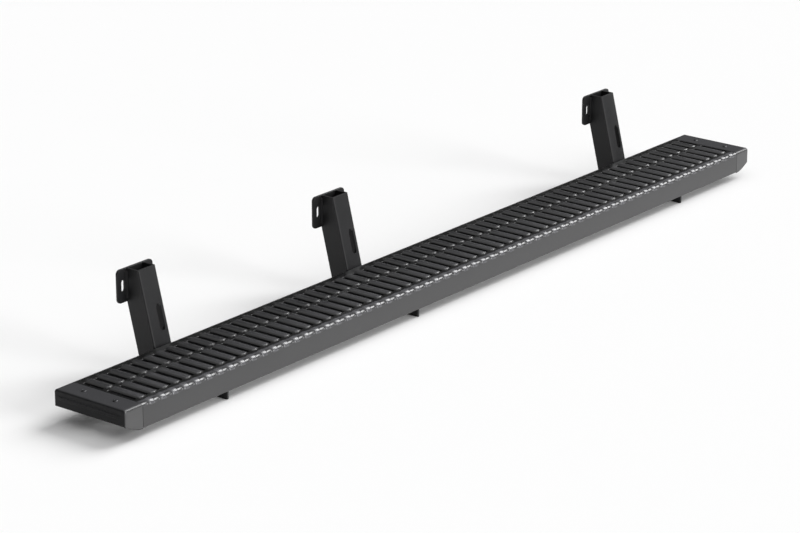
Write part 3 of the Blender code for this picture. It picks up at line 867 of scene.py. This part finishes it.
    def skirts(self, patches: Patchwork) -> None:
        """Both edges of the board, outside and inside, and the strips that close them: a section
        carried along the board, point + normal x ridge height x share x across(s).

        Args:
            patches: what they are added to.
        """
        s = self.line()
        skins = []
        for depth in (0.0, self.sheet):
            path, normal, share = self.section(depth)
            lift = self.datum.ridge * share[:, None] * self.across(s) * (depth == 0)
            outboard = carry(s, path[:, :1] + normal[:, :1] * lift, path[:, 1:] + normal[:, 1:] * lift)
            tail = self.flange(depth)
            skins.append((outboard, carry(s, tail[:, :1], tail[:, 1:])))
            for grid in skins[-1]:
                patches.grid(self.datum.world(grid))
        for outer, inner, edge in zip(*skins, (0, -1)):
            strips = [(outer[:, 0], inner[:, 0]), (outer[:, -1], inner[:, -1]), (outer[edge], inner[edge])]
            for strip in strips:
                patches.grid(self.datum.world(np.stack(strip)))

    def side(self, low: float, high: float) -> np.ndarray:
        """Places across the deck on a cell's long side, close at the ridges' end slopes."""
        near = np.array(self.slope_shares) * self.end_slope
        return np.concatenate([low + near, [(low + high) / 2], high - near[::-1]])

    def border(self, low: float, high: float) -> np.ndarray:
        """A cell's border: its near side, right side, far side and left side in turn.

        Args:
            low: where its row begins.
            high: where its row ends.

        Returns:
            Points (s from its column, t), starting at its first corner.
        """
        side, x = self.side(low, high), self.stations
        near = np.stack([x[:-1], np.full(len(x) - 1, low)], axis=-1)
        right = np.stack([np.full(len(side) - 1, x[-1]), side[:-1]], axis=-1)
        far = np.stack([x[:0:-1], np.full(len(x) - 1, high)], axis=-1)
        left = np.stack([np.full(len(side) - 1, x[0]), side[:0:-1]], axis=-1)
        return np.concatenate([near, right, far, left])

    def rings(self) -> list[tuple[float, float, float]]:
        """The rings from a cell's border into its slot, down round the rim's small radius, through
        the sheet and back out below.

        Returns:
            For each ring, its share of the way in, the outline's reach and its drop.
        """
        half, rim, turn = self.slot_width / 2, self.rim, self.rim * self.rim_turn
        rings = [(share, half + rim, 0.0) for share in self.ring_shares]
        rings += [(1.0, half + turn, -turn), (1.0, half, -rim)]
        return rings + [(share, half, -self.sheet) for share in self.under_shares]

    def cells(self, patches: Patchwork) -> None:
        """Every slot with its surroundings. Each point of a cell's border slides straight towards
        the nearest point of the slot's outline: border + share x (outline - border).

        Args:
            patches: what they are added to.
        """
        for low, high in zip(self.rows, self.rows[1:]):
            plain = self.border(low, high)
            middle, reach = (low + high) / 2, (high - low) / 2 - self.slot_land - self.slot_width / 2
            along = np.clip(plain[:, 1], middle - reach, middle + reach)
            spine = np.stack([np.zeros_like(along), along], axis=-1)
            for centres, (left, right) in self.groups():
                squeezed = plain[:, 0] * np.where(plain[:, 0] < 0, left, right)
                border = np.stack([squeezed, plain[:, 1]], axis=-1)
                away = border - spine
                direction = away / np.linalg.norm(away, axis=-1, keepdims=True)
                stack = []
                for share, radius, drop in self.rings():
                    ring = border + share * (spine + direction * radius - border)
                    s, t = centres[:, None] + ring[:, 0], ring[:, 1]
                    lift = self.datum.ridge * self.across(s) * self.along(t)
                    stack.append(carry(s, t, drop + lift))
                patches.grid(self.datum.world(np.stack(stack, axis=1)), wrap=True)

    def ends(self, patches: Patchwork) -> None:
        """The deck's edges at the sheet's two ends: strips from the outer skin to the inner one.

        Args:
            patches: what they are added to.
        """
        depths = np.array([[0.0], [-self.sheet]])
        for low, high in zip(self.rows, self.rows[1:]):
            for s in (self.datum.steel_start, self.datum.steel_end):
                patches.grid(self.datum.world(carry(s, self.side(low, high), depths)))

    def build(self) -> None:
        """Makes the board and hides the plain node."""
        patches = Patchwork()
        self.skirts(patches)
        self.cells(patches)
        self.ends(patches)
        settle(patches.piece("tread_skin", Finish.TREAD), "tread_coat", "tread_board")


@dataclass
class EndCap:
    """A moulded cap. Its skin is the board's section carried to the end, where it draws in round
    a quarter circle: inset = r (1 - cos a), place = r (1 - sin a).

    Attributes:
        rib_fade: how the rib rises from the face up and down, with rib_end for its two ends.
        rib_clear: how far the rib's face stays inside the cap's full length.
        joint: how far the cap draws in where it meets the steel, with gap between the two.
        rise_steps: vertices up a side below the rib, over it and above it.
        foot_share: how much of the inset the lower edge takes.
    """

    datum: Datum
    name: str
    at_rear: bool
    edge: float = 0.0036
    wall: float = 0.0025
    nose: float = 0.006
    face_depth: float = 0.033
    rib_low: float = 0.0185
    rib_high: float = 0.0125
    rib_proud: float = 0.0015
    rib_inset: float = 0.011
    rib_fade: float = 0.001
    rib_end: float = 0.002
    rib_clear: float = 0.0001
    joint: float = 0.0006
    gap: float = 0.0003
    rise_steps: tuple[int, int, int] = (6, 4, 4)
    fade_shares: tuple[float, ...] = (0.25, 0.5, 0.75)
    bend_steps: int = 5
    top_steps: int = 24
    foot_share: float = 0.5
    length_shares: tuple[float, ...] = (1.0, 0.985, 0.85, 0.7, 0.55, 0.4, 0.25, 0.12, 0.0)
    edge_angles: tuple[float, ...] = (15, 30, 45, 60, 75, 90)

    @property
    def length(self) -> float:
        """How far the cap covers the board."""
        return self.datum.steel_start - self.gap

    @property
    def rise(self) -> np.ndarray:
        """Shares of the way up a cap's side, close where the end face's rib begins and ends.

        Returns:
            The shares, 0 to 1, as a column.
        """
        foot = self.edge / 2 - self.face_depth
        fade = np.array(self.fade_shares) * self.rib_fade
        low, high = -self.rib_low - self.rib_fade, -self.rib_high + self.rib_fade
        below, over, above = self.rise_steps
        heights = [np.linspace(foot, low, below), low + fade]
        heights += [np.linspace(-self.rib_low, -self.rib_high, over), high - fade[::-1]]
        heights.append(np.linspace(high, -self.nose, above)[:-1])
        return (np.concatenate(heights)[:, None] - foot) / (-self.nose - foot)

    def outline(self, depth: float, inset: float) -> np.ndarray:
        """The cap's section from the outboard foot over the deck to the inboard foot.

        Args:
            depth: how far its outboard side reaches below the deck.
            inset: how far it lies inside the full section.

        Returns:
            Points (t, h).
        """
        width, r, rise = self.datum.width, self.nose, self.rise
        outboard = np.array([[inset, -depth]]) * (1 - rise) + np.array([[inset, -r]]) * rise
        nose = sweep((r, -r), r - inset, 180, 90, self.bend_steps)
        across = np.linspace(r, width - r, self.top_steps + 1)[1:-1]
        top = np.stack([across, np.full_like(across, -inset)], axis=-1)
        bend = sweep((width - r, -r), r - inset, 90, 0, self.bend_steps)
        foot = np.array([[width - inset, self.datum.flange_low]])
        inboard = foot * (1 - rise[::-1]) + np.array([[width - inset, -r]]) * rise[::-1]
        return np.concatenate([outboard, nose, top, bend, inboard])

    def skin(self) -> np.ndarray:
        """The sides and top: sections from the joint to the end face's rim. The outboard side
        grows deeper by the sine of the share of a quarter turn, which rounds the lower corner off.

        Returns:
            (sections, points, 3) points.
        """
        rings = []
        span = self.length - self.rib_proud - self.edge
        drop = -self.datum.fascia_low - self.face_depth
        for share in self.length_shares:
            depth = self.face_depth + drop * math.sin(share * math.pi / 2)
            inset = self.joint if share == 1.0 else 0.0
            rings.append((self.rib_proud + self.edge + span * share, self.outline(depth, inset)))
        for angle in np.radians(self.edge_angles):
            inset = self.edge * (1 - math.cos(angle))
            place = self.rib_proud + self.edge * (1 - math.sin(angle))
            rings.append((place, self.outline(self.face_depth - inset * self.foot_share, inset)))
        return np.stack([carry(s, ring[:, 0], ring[:, 1]) for s, ring in rings])

    def face(self, rim: np.ndarray) -> np.ndarray:
        """The end face: left + share x (right - left) between the rim's two sides, with a rib on it
        whose height is the product of two smoothsteps up and two across.

        Args:
            rim: the skin's last section.

        Returns:
            (rows, columns, 3) points.
        """
        side = len(self.rise) + self.bend_steps
        left, right = rim[: side + 1], rim[::-1][: side + 1]
        share = (rim[side : len(rim) - side, 1] - left[-1, 1]) / (right[-1, 1] - left[-1, 1])
        grid = left[:, None, :] * (1 - share[None, :, None]) + right[:, None, :] * share[None, :, None]
        h, t, fade = grid[..., 2], grid[..., 1], self.rib_fade
        tall = smooth((h + self.rib_low) / fade + 1) * smooth((-self.rib_high - h) / fade + 1)
        wide = smooth((t - self.rib_inset) / self.rib_end)
        wide = wide * smooth((self.datum.width - self.rib_inset - t) / self.rib_end)
        grid[..., 0] -= (self.rib_proud - self.rib_clear) * tall * wide
        return grid

    def build(self) -> None:
        """Makes the cap's shell and gives it its wall."""
        patches = Patchwork()
        skin = self.skin()
        for grid in (skin, self.face(skin[-1])):
            if self.at_rear:
                grid = grid * np.array([-1, 1, 1]) + np.array([self.datum.length, 0, 0])
            patches.grid(self.datum.world(grid))
        made = patches.piece(f"{self.name}_moulding", Finish.CAP)
        wall = made.modifiers.new("wall", "SOLIDIFY")
        wall.thickness = self.wall
        wall.offset = -1
        settle(made, "cap_plastic", self.name)


# Pieces kept from the frame


@dataclass
class RoundedCopy:
    """A copy of a plain node with its faces merged and its edges rounded."""

    node: str
    name: str
    finish: Finish
    slot: str
    round_edge: float
    flat_angle: float = 1.0
    smooth_angle: float = 35.0
    edge_angle: float = 30.0
    segments: int = 2

    def build(self) -> None:
        """Makes the copy and hides the plain node."""
        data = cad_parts[self.node].data.copy()
        data.materials.clear()
        work = bmesh.new()
        work.from_mesh(data)
        bmesh.ops.remove_doubles(work, verts=work.verts, dist=NODE_MERGE)
        flat = math.radians(self.flat_angle)
        bmesh.ops.dissolve_limit(work, angle_limit=flat, verts=work.verts, edges=work.edges)
        work.to_mesh(data)
        work.free()
        made = dress(data, self.name, self.finish, self.smooth_angle)
        bevel = made.modifiers.new("rounded_edges", "BEVEL")
        bevel.width = self.round_edge
        bevel.segments = self.segments
        bevel.limit_method = "ANGLE"
        bevel.angle_limit = math.radians(self.edge_angle)
        settle(made, self.slot, self.node)


# Fasteners


@dataclass
class Fastener:
    """A turned piece that stands for a CAD node, on that node's own upright axis.

    Its surface is a stack of rings: (reach cos a, reach sin a, height), with a going once round.
    A reach or a height may change with a.
    """

    node: str
    sides: int = 48

    @property
    def angles(self) -> np.ndarray:
        """Where the points of a ring lie."""
        return np.linspace(0, 2 * math.pi, self.sides, endpoint=False)

    @property
    def low(self) -> float:
        """The node's underside."""
        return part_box(self.node)[0].z

    @property
    def high(self) -> float:
        """The node's top."""
        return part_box(self.node)[1].z

    def hexagon(self, flat: float) -> np.ndarray:
        """Reach of a hexagon: half its width over flats, over the cosine of the angle to the flat."""
        sixth = math.pi / 3
        return flat / np.cos(self.angles % sixth - sixth / 2)

    def rings(self) -> list[tuple[np.ndarray | float, np.ndarray | float]]:
        """Each ring's reach and height, in order over the surface."""
        raise NotImplementedError

    def build(self) -> None:
        """Makes the piece and hides the plain node."""
        low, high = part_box(self.node)
        centre = np.array([(low.x + high.x) / 2, (low.y + high.y) / 2, 0])
        turns = np.stack([np.cos(self.angles), np.sin(self.angles)], axis=-1)
        stack = []
        for reach, height in self.rings():
            reach, height = np.broadcast_to(reach, self.sides), np.broadcast_to(height, self.sides)
            stack.append(np.concatenate([turns * reach[:, None], height[:, None]], axis=-1))
        patches = Patchwork()
        patches.grid(np.stack(stack) + centre, wrap=True)
        settle(patches.piece(f"{self.node}_turned", Finish.ZINC, 35), "fastener_metal", self.node)


@dataclass
class TrackBolt(Fastener):
    """A T-headed bolt: a blunt square head in the track and a threaded shank.

    The head's reach is half its side over the nth root of cos^n a + sin^n a, with n its bluntness.
    The thread's reach falls from the crest by its depth times 1 - |2 f - 1|, with f the fraction of
    h / pitch - a / 2 pi. It begins run_in below the head and ends run_out above the tip.
    """

    side: float = 0.020
    bluntness: int = 10
    middle_share: float = 0.5
    head: float = 0.005
    radius: float = 0.00395
    pitch: float = 0.00125
    cut: float = 0.0007
    edge: float = 0.0006
    fillet: float = 0.0008
    run_in: float = 0.0012
    run_out: float = 0.0010
    steps: int = 6

    def rings(self) -> list[tuple[np.ndarray | float, np.ndarray | float]]:
        """The head from its top's middle, the thread turn by turn, and the chamfered tail.

        Returns:
            Each ring's reach and height.
        """
        angles, edge = self.angles, self.edge
        n = self.bluntness
        square = self.side / 2 / (np.cos(angles) ** n + np.sin(angles) ** n) ** (1 / n)
        seat = self.high - self.head
        stack = [(0.0, self.high), (square * self.middle_share, self.high), (square - edge, self.high)]
        stack += [(square, self.high - edge), (square, seat + edge), (square - edge, seat)]
        stack += [(self.radius + self.fillet, seat), (self.radius, seat - self.fillet)]
        start, end = seat - self.run_in, self.low + self.run_out
        count = int((start - end) / self.pitch * self.steps)
        for height in np.linspace(start, end, count):
            turn = (height / self.pitch - angles / (2 * math.pi)) % 1.0
            stack.append((self.radius - self.cut * (1 - np.abs(2 * turn - 1)), height))
        return stack + [(self.radius - self.cut, self.low), (0.0, self.low)]


@dataclass
class Washer(Fastener):
    """A flat washer with blanked, slightly rounded edges."""

    radius: float = 0.0085
    bore: float = 0.0043
    edge: float = 0.00025

    def rings(self) -> list[tuple[np.ndarray | float, np.ndarray | float]]:
        """Once round the washer's section.

        Returns:
            Each ring's reach and height.
        """
        low, high, edge = self.low, self.high, self.edge
        outside = [(self.radius - edge, high), (self.radius, high - edge)]
        outside += [(self.radius, low + edge), (self.radius - edge, low)]
        inside = [(self.bore + edge, low), (self.bore, low + edge)]
        inside += [(self.bore, high - edge), (self.bore + edge, high)]
        return outside + inside + outside[:1]


@dataclass
class Nut(Fastener):
    """A hexagon nut. Its faces fall away past a circle, which is given as a part of half its width
    over flats: drop = (reach - circle) x tan chamfer."""

    flat: float = 0.0065
    bore: float = 0.0041
    countersink: float = 0.0005
    circle: float = 0.95
    chamfer: float = 30.0

    def rings(self) -> list[tuple[np.ndarray | float, np.ndarray | float]]:
        """Once round the nut's section.

        Returns:
            Each ring's reach and height.
        """
        low, high, sink = self.low, self.high, self.countersink
        reach, circle = self.hexagon(self.flat), self.flat * self.circle
        drop = (reach - circle) * math.tan(math.radians(self.chamfer))
        outside = [(self.bore + sink, high), (circle, high), (reach, high - drop)]
        outside += [(reach, low + drop), (circle, low), (self.bore + sink, low)]
        return outside + [(self.bore, low + sink), (self.bore, high - sink), (self.bore + sink, high)]


@dataclass
class CapScrew(Fastener):
    """A low domed screw with a hexagon socket. The dome is reach^3 + rise^3 = 1 in its own size."""

    head: float = 0.0016
    radius: float = 0.00475
    shank: float = 0.0021
    socket: float = 0.0014
    depth: float = 0.0011
    blunt: float = 0.0008
    edge: float = 0.0002
    tip_share: float = 0.6
    flat_share: float = 0.45
    rise: tuple[float, ...] = (0.12, 0.4, 0.62, 0.78, 0.88, 0.95)

    def rings(self) -> list[tuple[np.ndarray | float, np.ndarray | float]]:
        """From the shank's tip over the head to the socket's floor.

        Returns:
            Each ring's reach and height.
        """
        seat, edge = self.high - self.head, self.edge
        stack = [(0.0, self.low), (self.shank * self.tip_share, self.low)]
        stack += [(self.shank, self.low + self.blunt), (self.shank, seat), (self.radius - edge, seat)]
        for rise in self.rise:
            stack.append((self.radius * (1 - rise**3) ** (1 / 3), seat + rise * self.head))
        socket = self.hexagon(self.socket)
        stack += [(self.radius * self.flat_share, self.high), (socket + edge, self.high)]
        stack += [(socket, self.high - edge), (socket, self.high - self.depth)]
        return stack + [(0.0, self.high - self.depth - edge)]


@dataclass
class WeldBeads:
    """The two fillet welds that hold an upright's cheeks to its body plate.

    A bead's section runs a quarter turn from the plate to the cheek: reach = leg (1 + bulge sin 2a)
    / (cos a + sin a). Along it the reach swells by a sine of along / ripple - lag sin 2a, and closes
    to a point at both ends as the root of 1 - |2 share - 1|^bluntness.
    """

    place: str
    leg: float = 0.0036
    bulge: float = 0.30
    ripple: float = 0.0022
    swell: float = 0.07
    lag: float = 0.35
    bluntness: int = 24
    margin: float = 0.004
    sunk: float = 0.0003
    steps: int = 160
    turns: int = 9

    def bead(self, corner: tuple[float, float], outward: float, low: float, high: float) -> np.ndarray:
        """One bead's grid of points: its section's outline at each step along it.

        Args:
            corner: x and y of the corner that it fills.
            outward: 1 or -1, the way along x from the cheek.
            low: its foot.
            high: its head.

        Returns:
            (steps, section, 3) points.
        """
        share = np.linspace(0, 1, self.steps)[:, None]
        turn = np.radians(np.linspace(0, 90, self.turns))[None, :]
        along = share * (high - low)
        wave = np.sin(2 * math.pi * (along / self.ripple - self.lag * np.sin(2 * turn)))
        closing = np.sqrt(np.clip(1 - np.abs(2 * share - 1) ** self.bluntness, 0, 1))
        reach = self.leg * closing * (1 + self.bulge * np.sin(2 * turn)) / (np.cos(turn) + np.sin(turn))
        reach = reach * (1 + self.swell * wave * np.sin(2 * turn))
        x, y = corner[0] + outward * reach * np.cos(turn), corner[1] - reach * np.sin(turn)
        root = carry(corner[0] - outward * self.sunk, corner[1] + self.sunk, low + along)
        grid = np.concatenate([root, carry(x, y, low + along)], axis=1)
        for end in (0, -1):
            grid[end] = grid[end, :1]
        return grid

    def build(self) -> None:
        """Makes both beads as one piece."""
        cheeks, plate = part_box(f"{self.place}_bracket"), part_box(f"{self.place}_body_plate")
        low, high = plate[0].z + self.margin, plate[1].z - self.margin
        patches = Patchwork()
        for x, outward in ((cheeks[0].x, -1.0), (cheeks[1].x, 1.0)):
            patches.grid(self.bead((x, plate[0].y), outward, low, high), wrap=True)
        settle(patches.piece(f"{self.place}_weld_beads", Finish.BRACKET, 60), "bracket_coat")


@dataclass
class Bracket:
    """A bracket with its body plate, the welds between them and what clamps it to the tracks."""

    place: str
    folding_edge: float = 0.0009
    plate_edge: float = 0.0007

    def build(self) -> None:
        """Makes its pieces in order."""
        place, coat = self.place, (Finish.BRACKET, "bracket_coat")
        RoundedCopy(f"{place}_bracket", f"{place}_bracket_folding", *coat, self.folding_edge).build()
        RoundedCopy(f"{place}_body_plate", f"{place}_body_plate_blank", *coat, self.plate_edge).build()
        WeldBeads(place).build()
        for side in SIDES:
            TrackBolt(f"{place}_{side}_track_bolt").build()
            Washer(f"{place}_{side}_washer").build()
            Nut(f"{place}_{side}_nut").build()


# The studio


@dataclass(frozen=True)
class Lamp:
    """A far, wide and soft lamp: the way towards it, the angle that it fills and its strength."""

    name: str
    towards: tuple[float, float, float]
    angle: float
    strength: float

    def hang(self) -> None:
        """Puts the lamp into the scene."""
        data = bpy.data.lights.new(self.name, "SUN")
        data.angle = math.radians(self.angle)
        data.energy = self.strength
        made = bpy.data.objects.new(self.name, data)
        made.rotation_euler = Vector(self.towards).to_track_quat("Z", "Y").to_euler()
        bpy.context.scene.collection.objects.link(made)


@dataclass
class Studio:
    """A pale floor, soft lamps and the camera."""

    datum: Datum
    eye: tuple[float, float, float] = (-3.608, -3.496, 2.006)
    aim: tuple[float, float, float] = (0.886, 0.087, 0.010)
    lens: float = 138.0
    dome: tuple[float, float, float, float] = (0.55, 0.85, 0.02, 0.74)
    dome_axis: tuple[float, float, float] = (0.0, -0.10, 0.99)
    horizon: tuple[float, float] = (0.02, 0.06)
    floor_colour: float = 0.86
    floor_lift: float = 0.05
    floor_reach: float = 60.0
    floor_gap: float = 0.0003
    nose_lamp: Lamp = Lamp("nose_lamp", (0.76, -0.14, 0.63), 40, 2.7)
    side_lamp: Lamp = Lamp("side_lamp", (0.15, -0.92, 0.30), 30, 1.7)

    def camera(self) -> None:
        """The photograph's viewpoint and direction, with a longer lens."""
        data = bpy.data.cameras.new("camera")
        data.lens = self.lens
        made = bpy.data.objects.new("camera", data)
        start = Vector(self.datum.world(np.array(self.eye)))
        made.location = start
        aim = Vector(self.datum.world(np.array(self.aim)))
        made.rotation_euler = (aim - start).to_track_quat("-Z", "Y").to_euler()
        bpy.context.scene.collection.objects.link(made)
        bpy.context.scene.camera = made

    def world(self) -> None:
        """A soft surround: bright overhead and dim low down, but white where the camera sees it and
        where a reflection sees it just above the floor's far edge."""
        surround = bpy.data.worlds.new("surround")
        surround.use_nodes = True
        graph = Graph(surround.node_tree)
        direction = graph.node("TexCoord", {}, output="Generated")
        axis = Vector(self.dome_axis).normalized()
        towards = graph.node("VectorMath", {"operation": "DOT_PRODUCT"}, direction, axis, output="Value")
        level = graph.node("MapRange", {"interpolation_type": "SMOOTHSTEP"}, towards, *self.dome)
        seen = graph.node("LightPath", {}, output="Is Camera Ray")
        mirrored = graph.node("LightPath", {}, output="Is Glossy Ray")
        through = graph.node("LightPath", {}, output="Is Transmission Ray")
        rise = graph.node("SeparateXYZ", {}, direction, output="Z")
        white = seen + (mirrored + through) * (1.0 - rise.ramp(*self.horizon))
        background = surround.node_tree.nodes["Background"]
        background.inputs["Color"].default_value = (1, 1, 1, 1)
        graph.fill(background.inputs["Strength"], level * (1.0 - white) + white)
        bpy.context.scene.world = surround

    def floor(self) -> None:
        """A wide pale floor, lifted to white for the camera and in reflections."""
        data = bpy.data.meshes.new("floor")
        reach = self.floor_reach
        square = [(-reach, -reach, 0), (reach, -reach, 0), (reach, reach, 0), (-reach, reach, 0)]
        data.from_pydata(square, [], [(0, 1, 2, 3)])
        made = bpy.data.objects.new("floor", data)
        made.location.z = -self.floor_gap
        bpy.context.scene.collection.objects.link(made)
        shader = Shader("studio_floor", (self.floor_colour,) * 3, Roughness=0.9, Specular_IOR_Level=0.1)
        seen = shader.node("LightPath", {}, output="Is Camera Ray")
        mirrored = shader.node("LightPath", {}, output="Is Glossy Ray")
        through = shader.node("LightPath", {}, output="Is Transmission Ray")
        white = shader.mix(seen + mirrored + through, (0, 0, 0), (1, 1, 1))
        shader.surface.inputs["Emission Strength"].default_value = self.floor_lift
        shader.drive(Emission_Color=white)
        data.materials.append(shader.material)

    def build(self) -> None:
        """Sets the whole studio up."""
        bpy.context.scene.view_settings.view_transform = "Standard"
        self.camera()
        self.world()
        self.floor()
        self.nose_lamp.hang()
        self.side_lamp.hang()


def main() -> None:
    """Builds the pieces in order."""
    logging.basicConfig(level=logging.INFO, format="%(name)s: %(message)s")
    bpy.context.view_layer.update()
    datum = Datum.from_frame()
    TreadBoard(datum).build()
    EndCap(datum, "front_end_cap", False).build()
    EndCap(datum, "rear_end_cap", True).build()
    for place in PLACES:
        Bracket(place).build()
    for side in SIDES:
        RoundedCopy(f"{side}_track", f"{side}_track_channel", Finish.TRACK, "track_metal", 0.0003).build()
        CapScrew(f"front_cap_{side}_screw").build()
        CapScrew(f"rear_cap_{side}_screw").build()
    Studio(datum).build()


if __name__ == "__main__":
    main()
